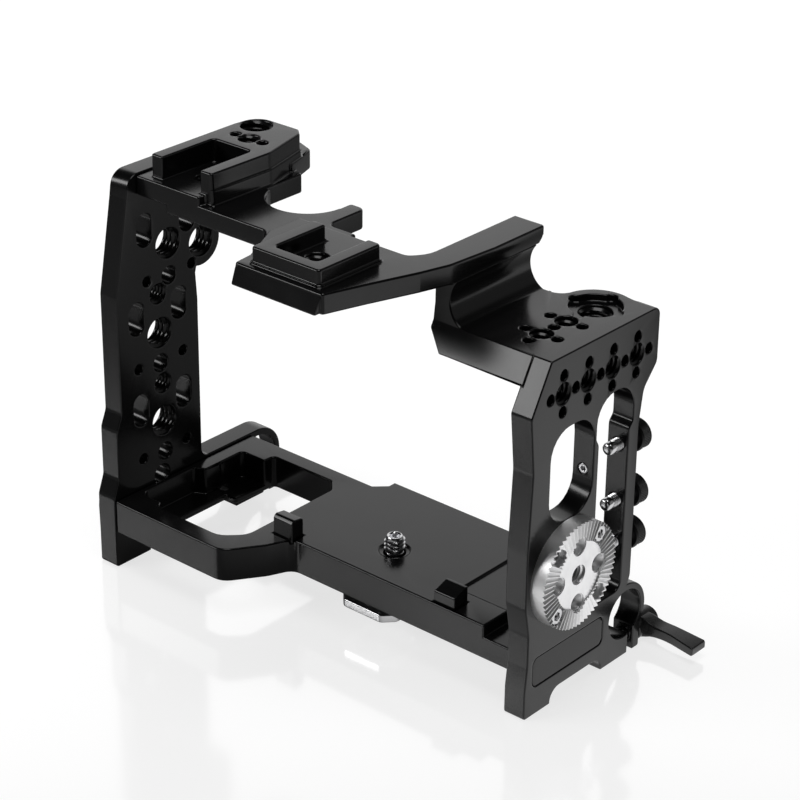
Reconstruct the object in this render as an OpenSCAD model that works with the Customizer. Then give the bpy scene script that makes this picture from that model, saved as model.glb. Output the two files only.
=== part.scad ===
/* [Cage] */
// Lens axis to the inner face of the left plate
left_in = 81.9; // [81:0.1:90]
// Lens axis to the inner face of the right plate
right_in = 56; // [55.5:0.1:62]
// Camera seat down to the surface that the cage stands on
foot_drop = 22.8; // [22.8:0.1:26]
// Camera seat up to the deck between the left plate and the first shoe
deck_top = 101.4; // [98:0.1:108]
// Thickness of the deck, the bar and the arm
bar_t = 6; // [5:0.1:7]
// Radius of the nominal quarter inch thread
quarter_r = 3.175; // [3:0.005:3.3]
// Radius of the nominal three eighths thread
three_eighth_r = 4.763; // [4.5:0.001:5]
// Radius of the small locating holes
dimple_r = 1.6; // [1.2:0.05:1.8]

/* [Left plate] */
// Thickness of the left plate
left_t = 7.2; // [6.5:0.1:9]
// How far the left plate stands above the deck
left_rise = 0.6; // [0.1:0.1:1]
// Front edge of the left plate's foot, in front of the lens axis
left_front = 34.6; // [34.4:0.1:37]
// Back edge of the left plate's narrow part
left_back = 2.8; // [1.5:0.1:3.4]
// Width of the vertical slots
slot_w = 6; // [5:0.1:6.4]
// Length of the vertical slots
slot_l = 10.4; // [9:0.1:11]

/* [Right bracket] */
// Thickness of the right plate
right_t = 7.2; // [6.8:0.1:8]
// Camera seat up to the accessory shelf
shelf_top = 85.1; // [82:0.1:87]
// Thickness of the shelf
shelf_t = 7.5; // [6:0.1:8]
// Radius of the cove under the bridge
cove_r = 7.7; // [7:0.1:8]
// Pitch of the accessory holes
hole_pitch = 10.9; // [10.5:0.05:11.2]
// Depth of the round recess on the shelf
recess_depth = 2; // [1:0.1:2.5]
// Width of the front window
front_window_w = 19.2; // [16:0.1:20]
// Width of the rear window
rear_window_w = 13.6; // [13:0.1:14]

/* [Top plate] */
// Front face of the deck and the bar, in front of the lens axis
bar_front = 20.8; // [19.5:0.1:22]
// Height of the deck above the bar
deck_step = 2.6; // [1:0.1:3.2]
// Height of the forward arm above the bar
arm_step = 4.7; // [3.8:0.1:5]
// Height of the shoes above the arm
shoe_h = 5; // [4:0.1:7]
// Width of the shoe blocks
shoe_w = 24.4; // [22:0.1:25]
// Width of the shoe channels
channel_w = 15.2; // [14:0.1:16]
// Radius of the round cut-out over the camera's dial
dial_r = 12.1; // [11:0.1:12.6]
// Width of the bridge to the right bracket
bridge_w = 10.7; // [10:0.1:11.5]

/* [Base plate] */
// Thickness of the base plate
base_t = 10.8; // [10:0.1:11.6]
// Front face of the wide part of the base plate
base_front = 34.2; // [32:0.1:34.3]
// Front face of the narrow part of the base plate
seat_front = 15.3; // [13.5:0.1:16]
// Back face of the base plate under the camera
seat_back = 31.5; // [30:0.1:32]
// Height of the left alignment lug
left_lug_h = 6.5; // [5:0.1:8]
// Height of the right alignment lug
right_lug_h = 5.2; // [4.4:0.1:7]

/* [Rod clamps] */
// Radius of the rod bores
rod_r = 7.5; // [7.3:0.05:7.6]
// Height of the rod bores, below the camera seat
rod_drop = 8.9; // [8.6:0.1:9.1]
// Distance of the rod bores behind the lens axis
rod_back = 28.1; // [27.5:0.1:28.6]
// Wall round the rod bores
rod_wall = 2.2; // [2:0.1:2.6]
// Width of the clamp slits
slit_w = 2.4; // [1.5:0.1:2.6]
// Radius of the clamp bolts
clamp_bolt_r = 2; // [1.5:0.1:2]
// Reach of the levers from the bolt to the tip
lever_reach = 21.6; // [16:0.1:26]
// Radius of the levers' hubs
lever_hub_r = 3.8; // [3.7:0.05:3.9]
// Pull of the levers that frees them from their core
lever_pull = 1.8; // [1.6:0.1:2]

/* [Cable clamp screws] */
// Camera seat up to the upper clamp screw
upper_clamp_z = 46; // [40:0.1:48]
// Camera seat up to the middle clamp screw
middle_clamp_z = 28.5; // [27:0.1:34]
// Camera seat up to the lower clamp screw
lower_clamp_z = 15; // [7:0.1:16]
// Radius of the clamp screws
pin_r = 1.9; // [1.5:0.05:2]
// Radius of the knurled knobs
knob_r = 4.6; // [3.6:0.1:5.2]
// Length of the knurled knobs
knob_l = 4.2; // [3:0.1:6]
// Travel of the clamp screws
pin_travel = 4; // [1:0.1:4]

/* [Rosette] */
// Radius of the rosette
rosette_r = 15.9; // [15.4:0.1:16.2]
// Thickness of the rosette with its teeth
rosette_t = 5; // [4.8:0.1:6]
// Number of teeth on the rosette
teeth = 60; // [48:4:72]
// Radius of the rosette's centre thread
rosette_bore_r = 3; // [2.5:0.1:3.2]
// Radius of the circle that the rosette's fixing screws lie on
rosette_fix_r = 12.9; // [12.4:0.1:13]

/* [Camera screw] */
// Length of the camera screw above the seat
screw_up = 5; // [4:0.1:6]
// Travel of the camera screw
screw_travel = 5; // [3:0.1:5.4]
// Radius of the camera screw's head
head_r = 6; // [5.6:0.1:6.6]
// Thickness of the camera screw's head
head_t = 4; // [3.6:0.1:4.4]
// Outer radius of the folding ring
ring_r = 10.5; // [10.2:0.1:12]
// Length of the folding ring from its pin
ring_reach = 14.4; // [12:0.1:16]

/* [Fasteners] */
// Radius of the screws that hold the base plate
base_screw_r = 2; // [1.5:0.1:2.2]
// Radius of the screws that hold the top plate
top_screw_r = 1.5; // [1.25:0.05:1.6]
// Radius of the screws that hold the bridge
bridge_screw_r = 1.25; // [1:0.05:1.3]
// Radius of the dowel pins
dowel_r = 1.5; // [1:0.1:1.6]

/* [Hidden] */
$fn = 48;

// Clearance of a running fit, clearance of a pocket, and the overshoot of every cut
run = 0.05;
seat = 0.15;
cut = 0.5;

// Faces of the plates and levels of the top plate
left_out = left_in + left_t;
right_out = right_in + right_t;
left_mid = -left_in - left_t / 2;
right_mid = right_in + right_t / 2;
floor_z = -foot_drop;
bar_top = deck_top - deck_step;
arm_top = bar_top + arm_step;
arm_under = arm_top - bar_t;
shoe_top = arm_top + shoe_h;
left_top = deck_top + left_rise;
shelf_under = shelf_top - shelf_t;

// Rod clamps: the ring, the slit and the bolt that closes it
rod_z = -rod_drop;
ring_out_r = rod_r + rod_wall;
slit_y = rod_back + 2.1;
tip_y = slit_y + slit_w;
tip_t = 3.2;
bolt_y = tip_y + tip_t;
bolt_z = rod_z - rod_r - clamp_bolt_r - 0.4;
bolt_depth = 7;
foot_arch = 4.4;
arch_back = 17.4;

// Levers: stations along the bolt, counted from the face that the core bears on
core_r = 2.7;
core_l = lever_pull + 0.4;
ledge_t = 0.6;
lever_spring_l = 5.8;
lever_cap_t = 1;
lever_hub_l = core_l + ledge_t + lever_spring_l + lever_cap_t;
lever_screw_r = 1.2;
lever_head_r = 2.6;
handle_y = rod_back + ring_out_r + 0.4;
handle_t = 5.2;

// Rear strut of the right plate, which the cable clamp screws pass through
strut_back = 29.7;
strut_front = rear_window_w + 11.4;
knob_gap = 1.3;
pin_reach = pin_travel + 1.2;
clamp_z = [upper_clamp_z, middle_clamp_z, lower_clamp_z];

// Rosette: the flat inside the teeth, the tooth depth and the holes round the centre
rosette_y = -1.3;
rosette_z = 18.6;
flat_r = 10;
flat_depth = 0.7;
tooth_depth = 0.75;
rosette_pcr = 8.9;
plain_hole_r = 1.6;
plain_mouth_r = 2.9;
plain_sink = 2.2;
rosette_head_z = 2.9;
fix_head_r = 2.4;

// Base plate: the stepped end, the battery ledge and the camera screw's seat
base_z = -base_t;
end_step = 3.8;
step_x = 46.1;
battery_ledge_t = 2.1;
retainer_t = 1.1;
neck_r = 2.3;
shank_r = quarter_r - 0.4;
thread_z = -0.3;
screw_relief_r = 4.6;
screw_relief_h = 0.6;
washer_t = 0.8;
head_top = base_z - run - washer_t;
hinge_z = head_top - head_t / 2 - 0.6;
hinge_r = 1;
ring_t = 2.6;
ring_w = 2.5;

// Name plate pocket on the outside of the right plate
plate_w = 32;
plate_h = 9.3;
plate_y = 1.5;
plate_z = -9.15;
plate_t = 1;
plate_depth = 1.2;

// Screw heads and the depth of their counterbores
top_head_r = 1.85 * top_screw_r;
base_head_r = 1.85 * base_screw_r;
bridge_head_r = 1.85 * bridge_screw_r;
head_sink = 0.3;

// Angle between two points of a rounded corner
arc_step = 15;

function unit(v) = v / norm(v);

// Points of one corner: b is the corner, a and c its neighbours and r its radius
function corner(a, b, c, r) =
    r == 0 ? [b] :
    let (
        u = unit(a - b),
        v = unit(c - b),
        half = acos(u * v) / 2,
        reach = r / tan(half),
        centre = b + unit(u + v) * r / sin(half),
        start = b + u * reach - centre,
        turn = (180 - 2 * half) * (u.x * v.y - u.y * v.x < 0 ? 1 : -1),
        steps = ceil(abs(turn) / arc_step)
    )
    [for (i = [0:steps])
        let (t = turn * i / steps)
        centre + [start.x * cos(t) - start.y * sin(t), start.x * sin(t) + start.y * cos(t)]];

// Outline with rounded corners: each point is [x, y, radius]
module outline(points) {
    n = len(points);
    polygon([for (i = [0:n - 1])
        let (a = points[(i + n - 1) % n], b = points[i], c = points[(i + 1) % n])
        for (p = corner([a.x, a.y], [b.x, b.y], [c.x, c.y], b[2])) p]);
}

// Rectangle centred on a point, with rounded corners
module rounded_box(centre, size, r) {
    x = size.x / 2;
    y = size.y / 2;
    translate(centre)
        outline([[-x, -y, r], [x, -y, r], [x, y, r], [-x, y, r]]);
}

// Drawing in Y and Z, raised along X from x0
module along_x(x0, length) {
    translate([x0, 0, 0])
        rotate([90, 0, 90])
            linear_extrude(length)
                children();
}

// Drawing in X and Z, raised along Y from y0
module along_y(y0, length) {
    translate([0, y0 + length, 0])
        rotate([90, 0, 0])
            linear_extrude(length)
                children();
}

// Round bars and holes along each axis
module round_x(x0, y, z, r, length) {
    translate([x0, y, z])
        rotate([0, 90, 0])
            cylinder(r = r, h = length);
}

module round_y(x, y0, z, r, length) {
    translate([x, y0, z])
        rotate([-90, 0, 0])
            cylinder(r = r, h = length);
}

module round_z(x, y, z0, r, length) {
    translate([x, y, z0])
        cylinder(r = r, h = length);
}

// Round ended slot that stands upright, drawn in Y and Z
module slot(y, z) {
    d = (slot_l - slot_w) / 2;
    translate([y, z])
        union() {
            square([slot_w, 2 * d], center = true);
            translate([0, d])
                circle(slot_w / 2);
            translate([0, -d])
                circle(slot_w / 2);
        }
}

// Hex socket in the end of a screw, cut along Z from z = 0 downwards
module hex_socket(across, depth) {
    translate([0, 0, -depth])
        cylinder(r = across / sqrt(3), h = depth + cut, $fn = 6);
}

// Socket head screw along Z: the head's underside is at z = 0 and the shank points down
module socket_screw(shank_r, length, head_r, head_h) {
    difference() {
        union() {
            round_z(0, 0, -length, shank_r, length);
            cylinder(r = head_r, h = head_h);
        }
        translate([0, 0, head_h])
            hex_socket(head_r * 0.95, head_h * 0.6);
    }
}

// Turns a child that points along Z so that it points outwards along X
module outward(side) {
    rotate([0, 90 * side, 0])
        children();
}

// Rod clamp at the foot of a side plate, drawn in Y and Z
module clamp_drawing() {
    difference() {
        union() {
            translate([rod_back, rod_z])
                circle(ring_out_r);
            outline([[rod_back, floor_z, 0], [bolt_y, floor_z, 0.8], [bolt_y, rod_z, 0],
                [rod_back, rod_z, 0]]);
        }
        translate([rod_back, rod_z])
            circle(rod_r);
        translate([slit_y, floor_z - cut])
            square([slit_w, rod_z - floor_z + cut]);
    }
}

// Holes for a clamp bolt: threaded in front of the slit and free behind it
module clamp_bolt_holes(x) {
    round_y(x, slit_y - bolt_depth - 1, bolt_z, clamp_bolt_r + run, bolt_depth + 1 + cut);
    round_y(x, tip_y - cut, bolt_z, clamp_bolt_r + seat, tip_t + 2 * cut);
}

// Left side plate: a milled plate with mounting holes and upright slots
left_threes = [[-8.95, 76.7], [4.7, 73.1], [-13.5, 49], [-12.7, 19.5]];
left_quarters = [[-13.7, 61.8], [-12.9, 32.1], [-14.3, 1.5]];
left_plains = [[-9, 66.4], [-13.5, 39], [-12.7, 8.9]];
left_dimples = [[-18, 67.1], [0.45, 67.3], [-4.2, 40.1], [-22.55, 39.9], [-21.9, 9.7], [-3.6, 9.9]];
left_slots = [[-18.3, 83.5], [-0.9, 83.4], [-5.2, 56.3], [-22.6, 56.3], [-4.3, 26.3], [-22, 26.1]];
plain_r = 2.8;
lobe = [4.7, 73.1];
lobe_r = 7.9;
top_screw_z = deck_top - bar_t / 2;
left_top_ys = [-13.5, 6.5];
base_dowel_z = base_z / 2;
base_screw_z = base_dowel_z + 1.5;
left_base_ys = [-30.2, 17.3];

module left_side_plate_drawing() {
    foot = -left_front;
    low = foot + 2.2;
    high = foot + 4.3;
    difference() {
        union() {
            outline([
                [foot, floor_z, 1], [foot + 14.4, floor_z, 0], [foot + 14.4, floor_z + foot_arch, 4],
                [arch_back, floor_z + foot_arch, 4], [arch_back, floor_z, 0],
                [slit_y - 1.4, floor_z, 0], [slit_y, floor_z + 1.4, 0], [slit_y, rod_z, 0],
                [rod_back, rod_z, 0], [rod_back, rod_z + ring_out_r, 0],
                [left_back, rod_z + ring_out_r, 3], [left_back, 55, 4], [left_back - 0.6, 63.6, 0],
                [lobe.x, lobe.y, 0], [lobe.x + lobe_r, lobe.y, 0], [lobe.x + lobe_r, left_top, 1.5],
                [foot + 10.6, left_top, 5], [foot + 9.6, 95, 3], [high, 65.4, 3], [high, 27.6, 4],
                [low, 22.6, 4], [low, 6.6, 4], [foot, 0.7, 4]]);
            translate(lobe)
                circle(lobe_r);
            clamp_drawing();
        }
        translate([rod_back, rod_z])
            circle(rod_r);
        for (p = left_slots)
            slot(p.x, p.y);
    }
}

module left_side_plate() color([0.07, 0.07, 0.08]) {
    x0 = -left_out - cut;
    through = left_t + 2 * cut;
    difference() {
        along_x(-left_out, left_t)
            left_side_plate_drawing();
        for (p = left_threes)
            round_x(x0, p.x, p.y, three_eighth_r, through);
        for (p = left_quarters)
            round_x(x0, p.x, p.y, quarter_r, through);
        for (p = left_plains)
            round_x(x0, p.x, p.y, plain_r, through);
        for (p = left_dimples)
            round_x(x0, p.x, p.y, dimple_r, through);
        for (y = left_top_ys) {
            round_x(x0, y, top_screw_z, top_screw_r + seat, through);
            round_x(x0, y, top_screw_z, top_head_r + seat, cut + 2 * top_screw_r + head_sink);
        }
        for (y = left_base_ys) {
            round_x(x0, y, base_screw_z, base_screw_r + seat, through);
            round_x(x0, y, base_screw_z, base_head_r + seat, cut + 2 * base_screw_r + head_sink);
        }
        for (y = left_dowel_ys)
            round_x(-left_in - dowel_in, y, base_dowel_z, dowel_r, dowel_in + cut);
        for (y = top_dowel_ys)
            round_x(-left_in - dowel_in, y, top_screw_z, dowel_r, dowel_in + cut);
        clamp_bolt_holes(left_mid);
    }
}

// Dowels: how deep they sit on each side of a joint and where they are
dowel_in = 4;
left_dowel_ys = [3.5, 10];
right_dowel_ys = [3.5, 18];
top_dowel_ys = [-3.5];

// Right bracket: side plate, accessory shelf and web in one milled piece
web_x = 21;
web_step = 1.5;
web_back = 24.4;
shelf_round = [right_in - 6.2, 25.1];
shelf_round_r = 11;
shelf_fillet_r = 4.7;
shelf_corner_r = 2.4;
shelf_end = 34.6;
bracket_back = shelf_end + shelf_corner_r - 0.2;
cove = [35.3, shelf_top + 7.1];
web_h = arm_under - shelf_under;
recess_r = 7.6;
lobe_hole_r = 1.9;
lobe_hole_at = 7;
shelf_hole_x = right_in - 5.9;
shelf_hole_y = 0.6;
wall_hole_y = -5.83;
wall_hole_z = shelf_top - 11.2;
small_offset = 5.4;
bridge_screw_ys = [-3, 16];
bridge_dowel_ys = [6.5];
bridge_x = web_x + 4.5;
bridge_sink = 0.472 * web_h;
bridge_bite = 4.5;
right_base_ys = [-9, 12];
set_screw_r = 1.5;
set_screw_z = 44.5;

module right_plate_drawing() {
    window = front_window_w / 2;
    rear = strut_front - rear_window_w;
    difference() {
        union() {
            outline([
                [-17.9, floor_z, 1], [-6.1, floor_z, 0], [-6.1, floor_z + foot_arch, 4],
                [arch_back, floor_z + foot_arch, 4], [arch_back, floor_z, 0],
                [slit_y - 1.4, floor_z, 0], [slit_y, floor_z + 1.4, 0], [slit_y, rod_z, 0],
                [rod_back, rod_z, 0], [rod_back, 0, 0], [strut_back, 3.4, 4], [strut_back, 52, 6],
                [31.2, 62, 5], [bracket_back, 68.4, 3], [bracket_back, shelf_top, shelf_corner_r],
                [-11.4, shelf_top, 0.6], [-19.2, 70.9, 2], [-17.5, 54, 8], [-18.7, 30, 20],
                [-18.7, 13, 8], [-17, 4, 8], [-17, -6, 8], [-17.9, -14, 0]]);
            clamp_drawing();
        }
        translate([rod_back, rod_z])
            circle(rod_r);
        rounded_box([-0.4, 48.65], [front_window_w, 28.5], 8);
        outline([[rear, 0.8, 3], [strut_front, 0.8, 3], [strut_front, 52, 2],
            [strut_front + 1.8, 54, 2], [strut_front + 1.8, 65.9, 7.5], [rear - 1.2, 65.9, 7.5],
            [rear - 1.2, 54, 2], [rear, 52, 2]]);
    }
}

module shelf_drawing() {
    fillet = shelf_round_r + shelf_fillet_r;
    rise = web_back + shelf_fillet_r - shelf_round.y;
    fillet_x = shelf_round.x - sqrt(fillet * fillet - rise * rise);
    difference() {
        union() {
            translate([web_x + 8, -20])
                square([right_in - web_x - 7, 20 + web_back]);
            polygon([[fillet_x, web_back], [fillet_x, web_back + shelf_fillet_r],
                shelf_round, [shelf_round.x, web_back]]);
            translate(shelf_round)
                circle(shelf_round_r);
            polygon([[shelf_round.x, web_back], [right_in + 1, web_back], [right_in + 1, shelf_end],
                shelf_round + shelf_round_r * [cos(80), sin(80)]]);
        }
        translate([fillet_x, web_back + shelf_fillet_r])
            circle(shelf_fillet_r + run);
    }
}

// Five small holes round each threaded hole of a row, shared between neighbours
module accessory_row(count) {
    for (i = [0:count - 1])
        translate([0, i * hole_pitch])
            circle(quarter_r);
    for (i = [0:count])
        translate([0, (i - 0.5) * hole_pitch])
            circle(dimple_r);
    for (i = [0:count - 1], side = [-1, 1])
        translate([side * small_offset, i * hole_pitch])
            circle(dimple_r);
}

module web() {
    difference() {
        along_y(-20, 20 + web_back)
            outline([[web_x + 7, shelf_under, 0], [web_x + web_step, shelf_under + 0.27 * web_h, 0],
                [web_x + web_step, shelf_under + 0.62 * web_h, 0.2 * web_h], [web_x + 0.8, arm_under, 0],
                [cove.x, arm_under, 0], [cove.x, shelf_under, 0]]);
        round_y(cove.x, -21, cove.y, cove_r, 22 + web_back);
    }
}

// Sloping front of the bracket: everything in front of it is cut away
module front_slope() {
    along_x(web_x - 1, right_in - web_x + 2)
        polygon([[-30, shelf_under - 1], [-16.15, shelf_under - 1], [-11.4, shelf_top],
            [-9.8, arm_under + cut], [-30, arm_under + cut]]);
}

module right_side_bracket() color([0.09, 0.09, 0.1]) {
    through = right_t + 2 * cut;
    difference() {
        union() {
            along_x(right_in, right_t)
                right_plate_drawing();
            difference() {
                union() {
                    translate([0, 0, shelf_under])
                        linear_extrude(shelf_t)
                            shelf_drawing();
                    web();
                }
                front_slope();
            }
        }
        translate([shelf_hole_x, shelf_hole_y, shelf_under - cut])
            linear_extrude(shelf_t + 2 * cut)
                accessory_row(2);
        round_z(shelf_round.x, shelf_round.y, shelf_under - cut, three_eighth_r, shelf_t + 2 * cut);
        round_z(shelf_round.x, shelf_round.y, shelf_top - recess_depth, recess_r, recess_depth + cut);
        for (a = [0:90:270])
            round_z(shelf_round.x + lobe_hole_at * cos(a), shelf_round.y + lobe_hole_at * sin(a),
                shelf_top - recess_depth, lobe_hole_r, recess_depth + cut);
        translate([right_in - cut, wall_hole_y, wall_hole_z])
            rotate([90, 0, 90])
                linear_extrude(through)
                    rotate(-90)
                        accessory_row(4);
        round_x(right_in - cut, rosette_y, rosette_z, rosette_bore_r, through);
        for (a = [45, 225])
            round_x(right_in - cut, rosette_y + rosette_fix_r * cos(a),
                rosette_z + rosette_fix_r * sin(a), top_screw_r + run, through);
        along_x(right_out - plate_depth, plate_depth + cut)
            rounded_box([plate_y, plate_z], [plate_w, plate_h], 2);
        for (y = right_base_ys) {
            round_x(right_in - cut, y, right_screw_z, base_screw_r + seat, through);
            round_x(right_head_x, y, right_screw_z, base_head_r + seat, right_t);
        }
        for (y = right_dowel_ys)
            round_x(right_in - cut, y, right_screw_z, dowel_r, dowel_in + cut);
        for (y = bridge_screw_ys) {
            round_z(bridge_x, y, shelf_under - cut, bridge_screw_r + seat, arm_under - shelf_under + 1);
            round_z(bridge_x, y, shelf_under - cut, bridge_head_r + seat, bridge_sink + cut);
        }
        for (y = bridge_dowel_ys)
            round_z(bridge_x, y, arm_under - dowel_in, dowel_r, dowel_in + cut);
        for (z = clamp_z)
            round_y(right_mid, strut_front - cut, z, pin_r + run, strut_back - strut_front + 2 * cut);
        round_y(right_mid, window_back - cut, set_screw_z, set_screw_r, set_screw_l + cut);
        clamp_bolt_holes(right_mid);
    }
}

// Screws behind the name plate, and the set screw in the rear wall of the front window
right_screw_z = plate_z + 0.75;
right_head_x = right_out - plate_depth - 2 * base_screw_r + 0.6;
window_back = front_window_w / 2 - 0.4;
set_screw_l = 2.2;

// Top plate: deck, bar with two fingers, forward arm with the bridge, and two shoes
shoe_a = [-65.75, 3.1];
shoe_b = [2.5, -35.85];
shoe_a_large = [-71.7, 18.8];
shoe_a_quarter_ys = [-8, 9.5];
shoe_b_hole = [0.3, -33.1];
arm_front = 50.2;
arm_slope = 1.8;
bridge_in = web_x - 0.4;
bridge_out = bridge_in + bridge_w;
bridge_end = web_back + 1;

module deck_drawing() {
    outline([[-left_in, -bar_front, 0], [-56.6, -bar_front, 0], [-56, -17, 0], [-58, 5, 0],
        [-60, 14, 0], [-57.5, 17.6, 0], [-54.6, 15.4, 0.4], [-59.2, 28.9, 3], [-66, 31.5, 6],
        [-76, 31.5, 7], [-left_in + 1.5, 22, 6], [-left_in, 12, 0]]);
}

module bar_drawing() {
    dial = [-38.5, 5.2];
    difference() {
        outline([[-70, -bar_front, 0], [-30.6, -bar_front, 3], [-26.6, -bar_front - 4, 0],
            [-17, -bar_front - 4, 0], [-10, -bar_front + 3, 0], [-10, -6, 0], [-20.5, -6, 2.5],
            [-20.5, 9.8, 2.2], [-26.2, 9.8, 1], [-26.2, 5.2, 0], [-52.2, 2, 1.5], [-51.9, 18.2, 2.2],
            [-59, 18.2, 0], [-70, 10, 0]]);
        translate(dial)
            circle(dial_r);
        outline([[dial.x - dial_r - 1.6, dial.y - 3, 3], [dial.x, dial.y - 3, 0],
            [dial.x, 20, 0], [dial.x - dial_r - 1.6, 20, 0]]);
        translate([dial.x, dial.y])
            square([dial_r, 20]);
    }
}

module arm_drawing() {
    front = -arm_front;
    outline([[-13.6, front, 1], [17.8, front, 1], [21.8, -37.8, 6], [27.2, -22.4, 3],
        [bridge_out - 1.4, -13, 6], [bridge_out, 4, 0], [bridge_out, bridge_end, 1],
        [bridge_in, bridge_end, 0.6], [bridge_in, -11.5, 8], [17, -16, 3], [-22, -16, 0],
        [-22, -28, 0], [-15.5, -41.1, 0], [-14.3, -43.6, 0]]);
}

module top_plate() color([0.08, 0.08, 0.09]) {
    deck_under = deck_top - bar_t;
    bar_under = bar_top - bar_t;
    shoe_b_l = 24.3;
    difference() {
        union() {
            translate([0, 0, deck_under])
                linear_extrude(bar_t)
                    deck_drawing();
            translate([0, 0, bar_under])
                linear_extrude(bar_t)
                    bar_drawing();
            translate([0, 0, arm_under])
                linear_extrude(bar_t)
                    arm_drawing();
            translate([0, 0, bar_top - 0.5])
                linear_extrude(arm_top - bar_top + 0.5)
                    outline(shoe_a_points(0.5));
            translate([0, 0, bar_top - 0.5])
                linear_extrude(shoe_top - bar_top + 0.5)
                    outline(shoe_a_points(0));
            translate([shoe_b.x, shoe_b.y, arm_top - 0.5])
                linear_extrude(1.1)
                    rounded_box([0, 0], [shoe_w + 1, shoe_b_l + 1], 1.5);
            translate([shoe_b.x, shoe_b.y, arm_top - 0.5])
                linear_extrude(shoe_h + 0.5)
                    rounded_box([0, 0], [shoe_w, shoe_b_l], 1.2);
            along_x(-13.6, 30.4)
                polygon([[-arm_front, arm_top - 1], [-arm_front - arm_slope, arm_under],
                    [-arm_front + 2, arm_under], [-arm_front + 2, arm_top - 1]]);
        }
        translate([0, 0, deck_top])
            linear_extrude(shoe_top)
                outline([[shoe_a.x - channel_w / 2, -30, 0], [shoe_a.x + channel_w / 2, -30, 0],
                    [shoe_a.x + channel_w / 2, 2.7, 1.5], [shoe_a.x - channel_w / 2, 2.7, 1.5]]);
        translate([0, 0, arm_top])
            linear_extrude(shoe_top)
                outline([[shoe_b.x - channel_w / 2, shoe_b.y - 8, 1.5],
                    [shoe_b.x + channel_w / 2, shoe_b.y - 8, 1.5],
                    [shoe_b.x + channel_w / 2, -20, 0], [shoe_b.x - channel_w / 2, -20, 0]]);
        along_y(-12, bridge_end + 13)
            polygon([[bridge_out - 1.7, arm_under - cut], [bridge_out - 1.5, arm_under + 0.4],
                [bridge_out + 0.01, arm_under + 3.4], [bridge_out + 2, arm_under + 3.4],
                [bridge_out + 2, arm_under - cut]]);
        round_z(shoe_a_large.x, shoe_a_large.y, bar_under - cut, three_eighth_r,
            shoe_top - bar_under + 2 * cut);
        for (y = shoe_a_quarter_ys)
            round_z(shoe_a.x, y, bar_under - cut, quarter_r, shoe_top - bar_under + 2 * cut);
        for (side = [-1, 1])
            round_z(shoe_a.x + side * small_offset, shoe_a_quarter_ys[1], shoe_top - 4, dimple_r, 5);
        round_z(shoe_b_hole.x, shoe_b_hole.y, arm_under - cut, quarter_r, bar_t + 2 * cut);
        for (y = left_top_ys)
            round_x(-left_in - cut, y, top_screw_z, top_screw_r + run, top_screw_l + 1);
        for (y = top_dowel_ys)
            round_x(-left_in - cut, y, top_screw_z, dowel_r, dowel_in + cut);
        for (y = bridge_screw_ys)
            round_z(bridge_x, y, arm_under - cut, bridge_screw_r + run, bridge_bite + cut);
        for (y = bridge_dowel_ys)
            round_z(bridge_x, y, arm_under - cut, dowel_r, dowel_in + cut);
    }
}

// First shoe: its right flank tapers towards the back, and its foot is a little wider
function shoe_a_points(extra) = [
    [shoe_a.x - shoe_w / 2, -18.4, 1], [shoe_a.x + shoe_w / 2 + extra, -18.4, 1],
    [shoe_a.x + shoe_w / 2 + 0.4 + extra, 5, 6], [-57.6 + extra, 22.4, 2], [-60.4, 24.9, 1],
    [-76.5, 24.9, 5.6], [shoe_a.x - shoe_w / 2, 16, 3]];
top_screw_l = 12;

// Base plate: camera seat, battery opening and the steps that the camera clears
battery = [-71.8, -38.6];
ledge_hole = [-75.2, 5.7];
relief = [28.4, -4.4, 0.6];

module base_drawing() {
    outline([[-left_in, -base_front, 0], [-37.5, -base_front, 6], [-29.6, -seat_front - 7.4, 6],
        [-26.3, -seat_front, 4], [right_in, -seat_front, 0], [right_in, seat_back, 0],
        [-27.4, seat_back, 0.5], [-27.4, 28.7, 0], [-31, 25.2, 0], [-left_in, 25.2, 0]]);
}

module battery_drawing() {
    outline([[battery[0], -27.8, 4], [-44.5, -27.8, 6], [battery[1], -22, 6],
        [battery[1], 15.2, 2], [-42.4, 19.2, 2], [-66.8, 19.2, 1.5], [-67.6, 2.7, 1],
        [battery[0], 2.7, 1]]);
}

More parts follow.
